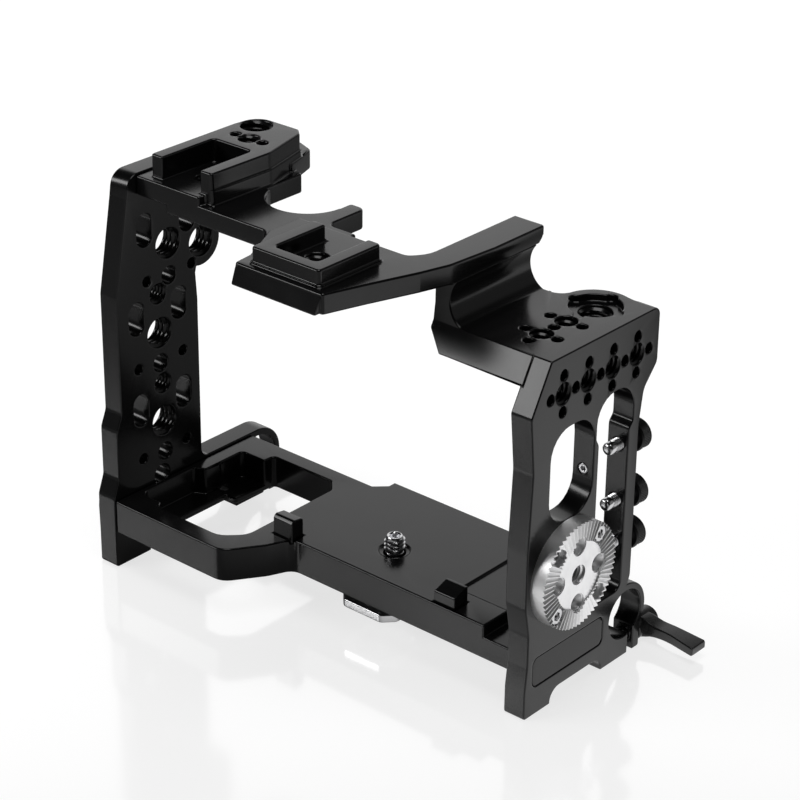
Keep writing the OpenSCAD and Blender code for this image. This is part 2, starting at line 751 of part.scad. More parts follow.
module base_plate() color([0.07, 0.07, 0.08]) {
    ledge = base_z + battery_ledge_t;
    difference() {
        translate([0, 0, base_z])
            linear_extrude(base_t)
                base_drawing();
        translate([0, 0, base_z - cut])
            linear_extrude(base_t + 2 * cut)
                battery_drawing();
        translate([0, 0, ledge])
            linear_extrude(base_t)
                outline([[-80, -25.2, 3], [-70, -25.2, 0], [-66, 2.7, 0], [-66, 15, 0],
                    [-76.5, 15, 1.5], [-76.5, -1.2, 1], [-80, -3, 1]]);
        round_z(ledge_hole.x, ledge_hole.y, base_z - cut, dimple_r, base_t);
        translate([step_x, -seat_front - cut, -end_step])
            cube([right_in - step_x + cut, seat_front + seat_back + 2 * cut, end_step + cut]);
        translate([relief.x, relief.y, -relief.z])
            cube([step_x - relief.x + cut, seat_back - relief.y + cut, relief.z + cut]);
        round_z(0, 0, base_z - cut, quarter_r + run, base_t + 2 * cut);
        round_z(0, 0, base_z - cut, retainer_r, retainer_t + cut + run);
        round_z(0, 0, -screw_relief_h, screw_relief_r, screw_relief_h + cut);
        for (p = [left_lug_at, right_lug_at]) {
            round_z(p.x, p.y, base_z - cut, lug_screw_r + run, base_t + 2 * cut);
            round_z(p.x, p.y, base_z - cut, lug_head_r + seat, lug_head_sink + cut);
        }
        for (lug = [[left_lug_at.x, left_lug_ys], [right_lug_at.x, right_lug_ys]])
            translate([lug[0] - lug_w / 2 - seat, lug[1][0] - seat, -lug_foot])
                cube([lug_w + 2 * seat, lug[1][1] - lug[1][0] + 2 * seat, lug_foot + cut]);
        for (y = left_base_ys)
            round_x(-left_in - cut, y, base_screw_z, base_screw_r + run, base_screw_l - left_t + 5);
        for (y = left_dowel_ys)
            round_x(-left_in - cut, y, base_dowel_z, dowel_r, dowel_in + cut);
        for (y = right_base_ys)
            round_x(right_in - 10, y, right_screw_z, base_screw_r + run, 11);
        for (y = right_dowel_ys)
            round_x(right_in - dowel_in, y, right_screw_z, dowel_r, dowel_in + cut);
    }
}

// Alignment lugs that locate the camera's front, each held by a screw from below
left_lug_at = [-29.5, -13.6];
right_lug_at = [31, -11.4];
left_lug_ys = [-16.3, -11.4];
right_lug_ys = [-14.4, -8.5];
lug_w = 7.5;
lug_foot = 1;
lug_screw_r = 1.25;
lug_head_r = 2.25;
lug_head_sink = 3;
lug_bite = 2.8;
retainer_r = 5.2;
base_screw_l = 14;

module left_lug() color([0.07, 0.07, 0.08]) {
    front = left_lug_ys[0];
    back = left_lug_ys[1];
    difference() {
        along_x(left_lug_at.x - lug_w / 2, lug_w)
            outline([[front, -lug_foot, 0], [back, -lug_foot, 0], [back, left_lug_h - 0.6, 1],
                [front + 0.9, left_lug_h, 1], [front, left_lug_h - 1.1, 0.4]]);
        lug_hole(left_lug_at);
    }
}

module right_lug() color([0.07, 0.07, 0.08]) {
    front = right_lug_ys[0];
    back = right_lug_ys[1];
    difference() {
        along_x(right_lug_at.x - lug_w / 2, lug_w)
            outline([[front, -lug_foot, 0], [back, -lug_foot, 0], [back, right_lug_h, 0.5],
                [back - 1.1, right_lug_h, 0.8], [front, right_lug_h - 1.6, 0.8]]);
        lug_hole(right_lug_at);
    }
}

module lug_hole(at) {
    round_z(at.x, at.y, -lug_foot - cut, lug_screw_r + run, lug_foot + lug_bite + 0.2 + cut);
}

module lug_screws() color([0.5, 0.5, 0.52]) {
    for (p = [left_lug_at, right_lug_at])
        translate([p.x, p.y, base_z + lug_head_sink])
            mirror([0, 0, 1])
                socket_screw(lug_screw_r, base_t - lug_head_sink + lug_bite, lug_head_r,
                    lug_head_sink - 0.5);
}

// Rosette: radial teeth round a sunken flat, with four fixing holes and four plain ones
module rosette() color([0.85, 0.86, 0.87]) {
    groove = atan(tooth_depth / rosette_r);
    groove_in = flat_r - 0.4;
    flare = 0.88 * tan(180 / teeth) / tan(groove);
    translate([right_out, rosette_y, rosette_z])
        rotate([90, 0, 90])
            difference() {
                cylinder(r = rosette_r, h = rosette_t, $fn = 96);
                translate([0, 0, rosette_t - flat_depth])
                    cylinder(r = flat_r, h = flat_depth + cut, $fn = 96);
                for (i = [0:teeth - 1])
                    rotate([0, 0, i * 360 / teeth])
                        translate([groove_in, 0, rosette_t - groove_in * tan(groove)])
                            rotate([0, 90 + groove, 0])
                                linear_extrude(rosette_r - groove_in + 2)
                                    polygon([[0, 0], [-2, 2 * flare], [-2, -2 * flare]]);
                translate([0, 0, -cut])
                    cylinder(r = rosette_bore_r, h = rosette_t + 2 * cut);
                for (a = [45:90:315])
                    rotate([0, 0, a])
                        translate([rosette_fix_r, 0, 0]) {
                            translate([0, 0, -cut])
                                cylinder(r = top_screw_r + seat, h = rosette_t + 2 * cut);
                            translate([0, 0, rosette_head_z])
                                cylinder(r = fix_head_r + seat, h = rosette_t);
                        }
                for (a = [0:90:270])
                    rotate([0, 0, a])
                        translate([rosette_pcr, 0, 0]) {
                            translate([0, 0, -cut])
                                cylinder(r = plain_hole_r, h = rosette_t + 2 * cut);
                            translate([0, 0, rosette_t - flat_depth - plain_sink])
                                cylinder(r1 = plain_hole_r, r2 = plain_mouth_r, h = plain_sink);
                            translate([0, 0, rosette_t - flat_depth - cut])
                                cylinder(r = plain_mouth_r, h = flat_depth + 2 * cut);
                        }
            }
}

module rosette_screws() color([0.75, 0.75, 0.77]) {
    for (a = [45, 225])
        translate([right_out + rosette_head_z, rosette_y + rosette_fix_r * cos(a),
            rosette_z + rosette_fix_r * sin(a)])
            outward(1)
                socket_screw(top_screw_r, rosette_head_z + right_t - 1, fix_head_r, 1.6);
}

// Bare plate in the pocket on the right plate, which hides the two base screws
module blank_plate() color([0.1, 0.1, 0.1]) {
    along_x(right_out - plate_depth, plate_t)
        rounded_box([plate_y, plate_z], [plate_w - 2 * seat, plate_h - 2 * seat], 2 - seat);
}

module window_set_screw() color([0.7, 0.7, 0.72]) {
    translate([right_mid, window_back + 0.1, set_screw_z])
        rotate([-90, 0, 0])
            difference() {
                cylinder(r = set_screw_r, h = set_screw_l - 0.2);
                mirror([0, 0, 1])
                    hex_socket(1.5, 1.2);
            }
}

// Cable clamp screws: steel pins in the strut's threads, each with a knurled knob
module clamp_pin(z) color([0.8, 0.8, 0.82]) {
    tip = strut_front - pin_reach;
    round_y(right_mid, tip, z, pin_r, strut_back + knob_gap + knob_l - 1 - tip);
    round_y(right_mid, strut_back + knob_gap - 0.8, z, pin_r + 0.7, 0.75);
}

module clamp_knob(z) color([0.06, 0.06, 0.06]) {
    y = strut_back + knob_gap;
    difference() {
        round_y(right_mid, y, z, knob_r, knob_l);
        round_y(right_mid, y - cut, z, pin_r + run, cut + knob_l - 0.9);
    }
}

module upper_clamp_pin() clamp_pin(clamp_z[0]);
module upper_clamp_knob() clamp_knob(clamp_z[0]);
module middle_clamp_pin() clamp_pin(clamp_z[1]);
module middle_clamp_knob() clamp_knob(clamp_z[1]);
module lower_clamp_pin() clamp_pin(clamp_z[2]);
module lower_clamp_knob() clamp_knob(clamp_z[2]);

// Rod clamp levers: the handle's hub rides on a core and lifts off it against a spring
module on_bolt(side) {
    translate([side > 0 ? right_mid : left_mid, bolt_y + 0.3, bolt_z])
        mirror([side > 0 ? 0 : 1, 0, 0])
            children();
}

module clamp_bolt(side) color([0.6, 0.6, 0.62]) {
    on_bolt(side)
        round_y(0, slit_y - bolt_y - bolt_depth, 0, clamp_bolt_r, bolt_depth + bolt_y - slit_y - run);
}

module lever_core(side) color([0.55, 0.55, 0.57]) {
    on_bolt(side)
        difference() {
            round_y(0, 0, 0, core_r, core_l - run);
            round_y(0, core_l - run - 1.6, 0, lever_screw_r, 2);
        }
}

module lever_handle(side) color([0.06, 0.06, 0.06]) {
    bar_y = handle_y - bolt_y - 0.3;
    on_bolt(side)
        difference() {
            union() {
                round_y(0, 0.05, 0, lever_hub_r, lever_hub_l);
                along_y(bar_y, handle_t)
                    outline([[0, lever_hub_r, 0], [8, 3.3, 6], [lever_reach, 1.3, 1],
                        [lever_reach, -1.2, 0.8], [8, -0.7, 6], [0, -lever_hub_r, 0]]);
            }
            round_y(0, -cut, 0, core_r + run, cut + core_l);
            round_y(0, core_l - cut, 0, lever_screw_r + seat, ledge_t + 2 * cut);
            round_y(0, core_l + ledge_t, 0, lever_head_r + seat, lever_hub_l);
        }
}

module lever_spring(side) color([0.7, 0.7, 0.72]) {
    on_bolt(side)
        difference() {
            round_y(0, core_l + ledge_t, 0, lever_head_r - 0.2, lever_spring_l);
            round_y(0, core_l + ledge_t - cut, 0, lever_screw_r + 0.4, lever_spring_l + 2 * cut);
        }
}

module lever_screw(side) color([0.5, 0.5, 0.52]) {
    shank = ledge_t + lever_spring_l + 1.6;
    on_bolt(side)
        translate([0, core_l + ledge_t + lever_spring_l, 0])
            rotate([-90, 0, 0])
                socket_screw(lever_screw_r, shank, lever_head_r, lever_cap_t - 0.1);
}

module right_clamp_bolt() clamp_bolt(1);
module right_lever_core() lever_core(1);
module right_lever_handle() lever_handle(1);
module right_lever_spring() lever_spring(1);
module right_lever_screw() lever_screw(1);
module left_clamp_bolt() clamp_bolt(-1);
module left_lever_core() lever_core(-1);
module left_lever_handle() lever_handle(-1);
module left_lever_spring() lever_spring(-1);
module left_lever_screw() lever_screw(-1);

// Captive camera screw with its slip washer, the ring that keeps it in, and its folding ring
module camera_screw() color([0.8, 0.8, 0.82]) {
    neck_end = base_z + retainer_t + screw_travel + 0.4;
    difference() {
        union() {
            round_z(0, 0, head_top - 0.1, neck_r, neck_end - head_top + 0.2);
            round_z(0, 0, neck_end, shank_r, thread_z - neck_end + 0.1);
            round_z(0, 0, thread_z, quarter_r, screw_up - thread_z);
            round_z(0, 0, head_top - head_t, head_r, head_t);
        }
        round_x(-head_r - 1, 0, hinge_z, hinge_r, 2 * head_r + 2);
        translate([0, 0, screw_up])
            hex_socket(3, 2.4);
    }
}

module screw_washer() color([0.2, 0.2, 0.2]) {
    difference() {
        round_z(0, 0, head_top + 0.01, head_r - 0.3, washer_t);
        round_z(0, 0, head_top - cut, neck_r + run, washer_t + 2 * cut);
    }
}

module screw_retainer() color([0.6, 0.6, 0.62]) {
    difference() {
        round_z(0, 0, base_z + run, retainer_r - 0.02, retainer_t - run);
        round_z(0, 0, base_z - cut, neck_r + run, retainer_t + 2 * cut);
    }
}

module folding_ring() color([0.8, 0.8, 0.82]) {
    inner = ring_r - ring_w;
    difference() {
        union() {
            translate([0, 0, hinge_z - ring_t / 2])
                linear_extrude(ring_t)
                    difference() {
                        ring_bow(ring_r, ring_reach);
                        ring_bow(inner, ring_reach - ring_w);
                    }
            for (side = [-1, 1])
                round_x(side > 0 ? inner : -ring_r, 0, hinge_z, ring_t / 2, ring_w);
        }
        round_x(-ring_r - 1, 0, hinge_z, hinge_r + run, 2 * ring_r + 2);
    }
}

module ring_bow(r, reach) {
    outline([[-r, 0, 0], [-r, 3.6 - reach, 2], [3.4 - r, -reach, 2], [r - 3.4, -reach, 2],
        [r, 3.6 - reach, 2], [r, 0, 0]]);
}

module ring_pin() color([0.7, 0.7, 0.72]) {
    round_x(-ring_r + 0.2, 0, hinge_z, hinge_r, 2 * ring_r - 0.4);
}

// Screws and dowels that hold the four plates together
module left_top_screws() color([0.3, 0.3, 0.32]) {
    for (y = left_top_ys)
        translate([-left_out + 2 * top_screw_r + head_sink, y, top_screw_z])
            outward(-1)
                socket_screw(top_screw_r, top_screw_l + 2, top_head_r, 2 * top_screw_r);
}

module left_base_screws() color([0.3, 0.3, 0.32]) {
    for (y = left_base_ys)
        translate([-left_out + 2 * base_screw_r + head_sink, y, base_screw_z])
            outward(-1)
                socket_screw(base_screw_r, base_screw_l, base_head_r, 2 * base_screw_r);
}

module right_base_screws() color([0.3, 0.3, 0.32]) {
    for (y = right_base_ys)
        translate([right_head_x, y, right_screw_z])
            outward(1)
                socket_screw(base_screw_r, 10, base_head_r, right_out - plate_depth - right_head_x);
}

module bridge_screws() color([0.3, 0.3, 0.32]) {
    head = shelf_under + bridge_sink;
    for (y = bridge_screw_ys)
        translate([bridge_x, y, head])
            mirror([0, 0, 1])
                socket_screw(bridge_screw_r, arm_under - head + bridge_bite - 0.2, bridge_head_r,
                    2 * bridge_screw_r);
}

module base_dowels() color([0.7, 0.7, 0.72]) {
    for (y = left_dowel_ys)
        round_x(-left_in - dowel_in, y, base_dowel_z, dowel_r, 2 * dowel_in);
    for (y = right_dowel_ys)
        round_x(right_in - dowel_in, y, right_screw_z, dowel_r, 2 * dowel_in);
}

module top_dowels() color([0.7, 0.7, 0.72]) {
    for (y = top_dowel_ys)
        round_x(-left_in - dowel_in, y, top_screw_z, dowel_r, 2 * dowel_in);
    for (y = bridge_dowel_ys)
        round_z(bridge_x, y, arm_under - dowel_in, dowel_r, 2 * dowel_in);
}

left_side_plate();
right_side_bracket();
top_plate();
base_plate();
left_lug();
right_lug();
lug_screws();
rosette();
rosette_screws();
blank_plate();
window_set_screw();
upper_clamp_pin();
upper_clamp_knob();
middle_clamp_pin();
middle_clamp_knob();
lower_clamp_pin();
lower_clamp_knob();
right_clamp_bolt();
right_lever_core();
right_lever_handle();
right_lever_spring();
right_lever_screw();
left_clamp_bolt();
left_lever_core();
left_lever_handle();
left_lever_spring();
left_lever_screw();
camera_screw();
screw_washer();
screw_retainer();
folding_ring();
ring_pin();
left_top_screws();
left_base_screws();
right_base_screws();
bridge_screws();
base_dowels();
top_dowels();
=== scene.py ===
import math

import bmesh
import bpy
from mathutils import Matrix, Vector


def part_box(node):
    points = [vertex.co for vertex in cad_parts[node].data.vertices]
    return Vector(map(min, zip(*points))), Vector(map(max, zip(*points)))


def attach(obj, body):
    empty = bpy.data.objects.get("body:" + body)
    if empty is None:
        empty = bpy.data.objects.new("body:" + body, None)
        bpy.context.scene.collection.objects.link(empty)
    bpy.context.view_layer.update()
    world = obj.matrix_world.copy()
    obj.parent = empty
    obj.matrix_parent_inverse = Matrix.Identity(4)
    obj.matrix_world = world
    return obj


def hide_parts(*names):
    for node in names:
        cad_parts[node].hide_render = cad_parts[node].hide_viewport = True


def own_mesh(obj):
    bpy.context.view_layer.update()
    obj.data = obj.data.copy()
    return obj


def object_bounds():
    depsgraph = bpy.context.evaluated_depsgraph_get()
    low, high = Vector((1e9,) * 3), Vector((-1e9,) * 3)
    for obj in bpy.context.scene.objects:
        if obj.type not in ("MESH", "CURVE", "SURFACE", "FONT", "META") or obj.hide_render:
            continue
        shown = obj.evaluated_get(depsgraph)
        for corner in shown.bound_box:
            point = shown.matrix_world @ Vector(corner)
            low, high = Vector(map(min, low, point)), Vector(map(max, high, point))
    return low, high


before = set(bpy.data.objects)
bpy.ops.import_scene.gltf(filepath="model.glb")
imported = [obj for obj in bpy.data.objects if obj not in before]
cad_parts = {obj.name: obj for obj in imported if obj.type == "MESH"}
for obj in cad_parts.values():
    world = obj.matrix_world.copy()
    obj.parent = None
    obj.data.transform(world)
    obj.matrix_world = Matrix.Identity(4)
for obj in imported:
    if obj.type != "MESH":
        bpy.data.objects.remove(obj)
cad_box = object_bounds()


# Base plate: 10.8 mm aluminium plate, milled with the battery opening and the steps that clear the
# camera, its edges eased with a small cutter. It is blasted very finely and then anodised black.
MM = 0.001
BLACK = (0.0045, 0.0045, 0.0047, 1)


def new_finish(name, colour, metallic, specular):
    """An empty finish, with the constants that hold all over set on the shader itself."""
    finish = bpy.data.materials.new(name)
    finish.use_nodes = True
    shader = finish.node_tree.nodes["Principled BSDF"]
    shader.inputs["Base Color"].default_value = colour
    shader.inputs["Metallic"].default_value = metallic
    shader.inputs["Specular IOR Level"].default_value = specular
    return finish, finish.node_tree, shader


def spread(tree, source, low, high):
    """Maps a 0 to 1 texture onto the range from low to high."""
    ramp = tree.nodes.new("ShaderNodeMapRange")
    ramp.inputs["To Min"].default_value = low
    ramp.inputs["To Max"].default_value = high
    tree.links.new(source, ramp.inputs["Value"])
    return ramp.outputs["Result"]


def clouds(tree, size, detail=2.0, stretch=(1, 1, 1)):
    """Noise with patches of the given size, in metres, drawn out along an axis if stretched."""
    place = tree.nodes.new("ShaderNodeTexCoord")
    scale = tree.nodes.new("ShaderNodeMapping")
    scale.inputs["Scale"].default_value = stretch
    noise = tree.nodes.new("ShaderNodeTexNoise")
    noise.inputs["Scale"].default_value = 1 / size
    noise.inputs["Detail"].default_value = detail
    tree.links.new(place.outputs["Object"], scale.inputs["Vector"])
    tree.links.new(scale.outputs["Vector"], noise.inputs["Vector"])
    return noise.outputs["Fac"]


def blend_colours(tree, factor, one, other, shader):
    """Base colour that drifts between two tones."""
    mix = tree.nodes.new("ShaderNodeMix")
    mix.data_type = "RGBA"
    mix.inputs[6].default_value = one
    mix.inputs[7].default_value = other
    tree.links.new(factor, mix.inputs[0])
    tree.links.new(mix.outputs[2], shader.inputs["Base Color"])


def roughen(tree, shader, height, strength, depth):
    """Surface relief of a blasted, ground or turned face."""
    bump = tree.nodes.new("ShaderNodeBump")
    bump.inputs["Strength"].default_value = strength
    bump.inputs["Distance"].default_value = depth
    tree.links.new(height, bump.inputs["Height"])
    tree.links.new(bump.outputs["Normal"], shader.inputs["Normal"])


def anodised(name, rough=(0.16, 0.24), grain=0.25 * MM, relief=0.04):
    """Black anodising: a deep dye with a satin sheen, a fine grain and slow changes of tone."""
    finish, tree, shader = new_finish(name, BLACK, 0.0, 0.42)
    patches = clouds(tree, 14 * MM, 3.0)
    blend_colours(tree, patches, (0.0035, 0.0035, 0.0037, 1), (0.006, 0.006, 0.0063, 1), shader)
    tree.links.new(spread(tree, patches, *rough), shader.inputs["Roughness"])
    roughen(tree, shader, clouds(tree, grain), relief, 0.02 * MM)
    return finish


def mark_edges(data, left_plain, corner=35.0):
    """Marks the edges that the cutter breaks: all sharp ones, save those at a few plain spots."""
    sides = {}
    for face in data.polygons:
        for pair in face.edge_keys:
            ends = frozenset(tuple(data.vertices[i].co) for i in pair)
            sides.setdefault(ends, []).append(face.normal.copy())
    broken = set()
    for ends, normals in sides.items():
        if len(normals) == 2 and normals[0].angle(normals[1], 0) > math.radians(corner):
            middle = sum((Vector(end) for end in ends), Vector()) / 2
            if all((middle - Vector(spot) * MM).length > 0.9 * MM for spot in left_plain):
                broken.add(ends)
    marks = data.attributes.new("bevel_weight_edge", "FLOAT", "EDGE").data
    for edge, mark in zip(data.edges, marks):
        mark.value = frozenset(tuple(data.vertices[i].co) for i in edge.vertices) in broken


def dress(nodes, finish, edge=0.0, steps=3, left_plain=()):
    """Gives CAD nodes their finish and breaks their sharp edges as the cutter does."""
    for name in nodes:
        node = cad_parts[name]
        node.data.materials.clear()
        node.data.materials.append(finish)
        if edge:
            mark_edges(node.data, left_plain)
            weld = node.modifiers.new("joined faces", "WELD")
            weld.merge_threshold = 0.001 * MM
            eased = node.modifiers.new("eased edges", "BEVEL")
            eased.width = edge
            eased.segments = steps
            eased.limit_method = "WEIGHT"
            eased.use_clamp_overlap = False
            eased.loop_slide = False
            shade = node.modifiers.new("even shading", "WEIGHTED_NORMAL")
            shade.weight = 80
            shade.keep_sharp = False


plate_black = anodised("plate_black")
dress(["base_plate"], plate_black, 0.55 * MM)

# Side plates: the left one is a flat milled plate, the right one carries the shelf and the web in
# one piece. Both are black anodised, and screws and dowels hold them to the ends of the base.
dress(["left_side_plate"], plate_black, 0.45 * MM)
dress(["right_side_bracket"], plate_black, 0.45 * MM,
      left_plain=[(34.6, 24.4, 84.6), (57, -11.3, 84.95), (57, 34.5, 85.08)])

# Threads in the plates: tapped quarter inch and three eighths inch holes, black like the plates
# round them. Each ridge is one helix that starts and ends in a short run-out.
TURN_STEPS = 24
QUARTER = {"wall": 3.175 * MM, "crest": 2.62 * MM, "pitch": 1.27 * MM}
THREE_EIGHTHS = {"wall": 4.763 * MM, "crest": 4.02 * MM, "pitch": 1.5875 * MM}


def side_axes(along):
    """Two directions square to an axis."""
    across = Vector((0, 0, 1)) if abs(along.z) < 0.5 else Vector((1, 0, 0))
    u = along.cross(across).normalized()
    return u, along.cross(u).normalized()


def add_ridge(mesh, start, along, length, wall, crest, pitch):
    """Adds one thread ridge to a mesh: from the wall to the crest, inwards or outwards."""
    along = Vector(along)
    start = Vector(start)
    u, v = side_axes(along)
    root = wall + math.copysign(0.05 * MM, wall - crest)
    margin = 0.44 * pitch
    count = int((length - 2 * margin) / pitch * TURN_STEPS)
    rings = []
    for k in range(count + 1):
        turn = 2 * math.pi * k / TURN_STEPS
        height = margin + pitch * k / TURN_STEPS
        grow = min(1.0, (k + 0.5) / 8, (count - k + 0.5) / 8)
        top = root + (crest - root) * grow
        arm = u * math.cos(turn) + v * math.sin(turn)
        corners = [(root, -0.42), (top, -0.07), (top, 0.07), (root, 0.42)]
        rings.append([mesh.verts.new(start + along * (height + w * pitch) + arm * r)
                      for r, w in corners])
    for a, b in zip(rings, rings[1:]):
        for i in range(4):
            mesh.faces.new((a[i], a[(i + 1) % 4], b[(i + 1) % 4], b[i]))
    mesh.faces.new(rings[0])
    mesh.faces.new(list(reversed(rings[-1])))


def finish_piece(name, mesh, finish, body, smooth=40.0):
    """Closes a mesh, shades it and puts it on its body."""
    bmesh.ops.recalc_face_normals(mesh, faces=mesh.faces)
    data = bpy.data.meshes.new(name)
    mesh.to_mesh(data)
    mesh.free()
    data.shade_smooth()
    data.set_sharp_from_angle(angle=math.radians(smooth))
    data.materials.append(finish)
    piece = bpy.data.objects.new(name, data)
    bpy.context.scene.collection.objects.link(piece)
    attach(piece, body)
    return piece


def tapped_holes(name, holes, finish):
    """One piece that holds the ridges of like holes: each hole is start, axis, depth and size."""
    mesh = bmesh.new()
    for start, along, depth, size in holes:
        add_ridge(mesh, [c * MM for c in start], along, depth * MM, **size)
    return finish_piece(name, mesh, finish, "cage")


left_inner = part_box("left_side_plate")[1].x / MM
left_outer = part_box("left_side_plate")[0].x / MM
left_depth = left_inner - left_outer
tapped_holes("left_plate_threads",
             [((left_outer, y, z), (1, 0, 0), left_depth, THREE_EIGHTHS)
              for y, z in ((-8.95, 76.7), (4.7, 73.1), (-13.5, 49), (-12.7, 19.5))]
             + [((left_outer, y, z), (1, 0, 0), left_depth, QUARTER)
                for y, z in ((-13.7, 61.8), (-12.9, 32.1))], plate_black)

right_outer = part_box("right_side_bracket")[1].x / MM
bracket_depth = 7.2
right_inner = right_outer - bracket_depth
shelf_under, hole_pitch = 77.6, 10.9
tapped_holes("bracket_threads",
             [((right_inner, -5.83 + i * hole_pitch, 73.9), (1, 0, 0), bracket_depth, QUARTER)
              for i in range(4)]
             + [((50.1, 0.6 + i * hole_pitch, shelf_under), (0, 0, 1), 7.5, QUARTER)
                for i in range(2)]
             + [((49.8, 25.1, shelf_under), (0, 0, 1), 5.5, THREE_EIGHTHS)], plate_black)

# Top plate: one milled piece with the deck, the bar with its two fingers, the forward arm with the
# bridge and the two accessory shoes, black anodised. It bolts to the left plate and to the web.
dress(["top_plate"], plate_black, 0.6 * MM,
      left_plain=[(-60.5, 24.8, 103.5), (-54, -18.25, 103.5), (-13.2, -50.1, 102.5),
                  (29.8, -12, 97.6)])
tapped_holes("top_plate_threads",
             [((-71.7, 18.8, 95.4), (0, 0, 1), 13.1, THREE_EIGHTHS),
              ((-65.75, 9.5, 95.4), (0, 0, 1), 13.1, QUARTER),
              ((-65.75, -8, 95.4), (0, 0, 1), 6, QUARTER),
              ((0.3, -33.1, 97.5), (0, 0, 1), 6, QUARTER)], plate_black)

# Alignment lugs: two small blocks that the camera's front edge meets, black anodised. A socket
# screw from under the base plate holds each one.
dress(["left_lug", "right_lug"], plate_black, 0.3 * MM, 2)


# Blackened screws: socket heads with hexagon sockets in steel, oiled black. They hold the lugs,
# the left plate, the right plate behind its bare plate and the bridge.
def steel(name, tone, rough, drift=0.6 * MM, stretch=(1, 1, 1), relief=0.05):
    """Turned or ground steel or aluminium with fine marks and slight changes of tone."""
    light = tuple(min(1, c * 1.12) for c in tone) + (1,)
    dark = tuple(c * 0.86 for c in tone) + (1,)
    finish, tree, shader = new_finish(name, tone + (1,), 1.0, 0.5)
    blend_colours(tree, clouds(tree, 3 * MM, 2.0), dark, light, shader)
    marks = clouds(tree, drift, 3.0, stretch)
    tree.links.new(spread(tree, marks, *rough), shader.inputs["Roughness"])
    roughen(tree, shader, marks, relief, 0.02 * MM)
    return finish


black_steel = steel("black_steel", (0.05, 0.05, 0.052), (0.28, 0.42))
dress(["lug_screws", "left_top_screws", "left_base_screws", "right_base_screws", "bridge_screws"],
      black_steel, 0.2 * MM, 2)

# Dowel pins: hardened and ground steel, pressed across the joints so that the plates always go
# back to the same place. They are hidden when the cage is together.
ground_steel = steel("ground_steel", (0.62, 0.62, 0.63), (0.16, 0.26), 0.3 * MM, (1, 8, 8))
dress(["base_dowels", "top_dowels"], ground_steel)

# Rosette: an aluminium ring with radial teeth round a flat centre, turned and left bright. Two of
# its four holes hold steel screws, and an M6 thread runs through its middle.
bright = steel("bright_aluminium", (0.9, 0.9, 0.91), (0.36, 0.46), 1.5 * MM, (1, 1, 1), 0.01)
dress(["rosette"], bright)
rosette_low, rosette_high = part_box("rosette")
rosette_y = (rosette_low.y + rosette_high.y) / 2 / MM
rosette_z = (rosette_low.z + rosette_high.z) / 2 / MM
tapped_holes("rosette_thread",
             [((rosette_low.x / MM, rosette_y, rosette_z), (1, 0, 0), 4.3,
               {"wall": 3 * MM, "crest": 2.5 * MM, "pitch": 1.0 * MM})], bright)
dress(["rosette_screws"], ground_steel, 0.2 * MM, 2)


# Bare plate: a black enamelled plate glued into the pocket over the two base screws. Its face is
# smooth and glossy, and it carries nothing.
def enamel():
    """Smooth black enamel with a faint ripple."""
    finish, tree, shader = new_finish("black_enamel", (0.006, 0.006, 0.006, 1), 0.0, 0.3)
    ripple = clouds(tree, 5 * MM, 1.0)
    blend_colours(tree, ripple, (0.005, 0.005, 0.005, 1), (0.009, 0.009, 0.0095, 1), shader)
    tree.links.new(spread(tree, ripple, 0.1, 0.16), shader.inputs["Roughness"])
    roughen(tree, shader, ripple, 0.04, 0.05 * MM)
    return finish


dress(["blank_plate"], enamel(), 0.15 * MM, 2)

# Set screw in the rear wall of the front window: bright steel with a hexagon socket.
# It closes the threaded hole that the window's wall carries for a strap.
dress(["window_set_screw"], ground_steel, 0.1 * MM, 2)

# Cable clamp screws: steel screws with a plain round point in the strut's threads. A knurled
# aluminium knob, black anodised, is pressed on the back of each one.
strut_back = 29.7
pin_x = (right_inner + right_outer) / 2
core, collar, collar_depth = 1.9 * MM, 2.6 * MM, 0.75 * MM
groove, thread_start = core * 0.84, 2.4 * MM


def turned(mesh, centre, along, rings, segments=48):
    """Adds a turned shape: each ring is a radius, or a function of the angle, and a height."""
    along = Vector(along)
    centre = Vector(centre)
    u, v = side_axes(along)
    loops = []
    for radius, height in rings:
        loop = []
        for k in range(segments):
            angle = 2 * math.pi * k / segments
            r = radius(angle) if callable(radius) else radius
            loop.append(mesh.verts.new(
                centre + along * height + (u * math.cos(angle) + v * math.sin(angle)) * r))
        loops.append(loop)
    for a, b in zip(loops, loops[1:]):
        for i in range(segments):
            j = (i + 1) % segments
            mesh.faces.new((a[i], a[j], b[j], b[i]))
    mesh.faces.new(list(reversed(loops[0])))
    mesh.faces.new(loops[-1])


def hexagon(across):
    """Radius of a hexagon at an angle, for sockets."""
    apothem = across / 2
    return lambda angle: apothem / math.cos((angle + math.pi / 6) % (math.pi / 3) - math.pi / 6)


def knurled_knob(centre, length, radius):
    """Diamond knurling between two plain chamfered rims, and a shallow dish in the end."""
    knurls, rows, teeth = 144, 14, 36
    rim = 0.45 * MM
    depth = 0.24 * MM

    def diamond(row):
        def at(angle):
            a = (angle * teeth / (2 * math.pi) + row / 4) % 1
            b = (angle * teeth / (2 * math.pi) - row / 4) % 1
            return radius - depth * max(abs(a - 0.5), abs(b - 0.5)) * 2 * min(1, row, rows - row)
        return at
    rings = [(0.5 * radius, 0), (radius - rim, 0), (radius - 0.12 * MM, rim * 0.7)]
    rings += [(diamond(row), rim + (length - 2 * rim) * row / rows) for row in range(rows + 1)]
    rings += [(radius - 0.12 * MM, length - rim * 0.7), (radius - rim, length),
              (0.62 * radius, length), (0.58 * radius, length - 0.3 * MM),
              (0.2 * radius, length - 0.35 * MM)]
    mesh = bmesh.new()
    turned(mesh, centre, (0, 1, 0), rings, knurls)
    return mesh


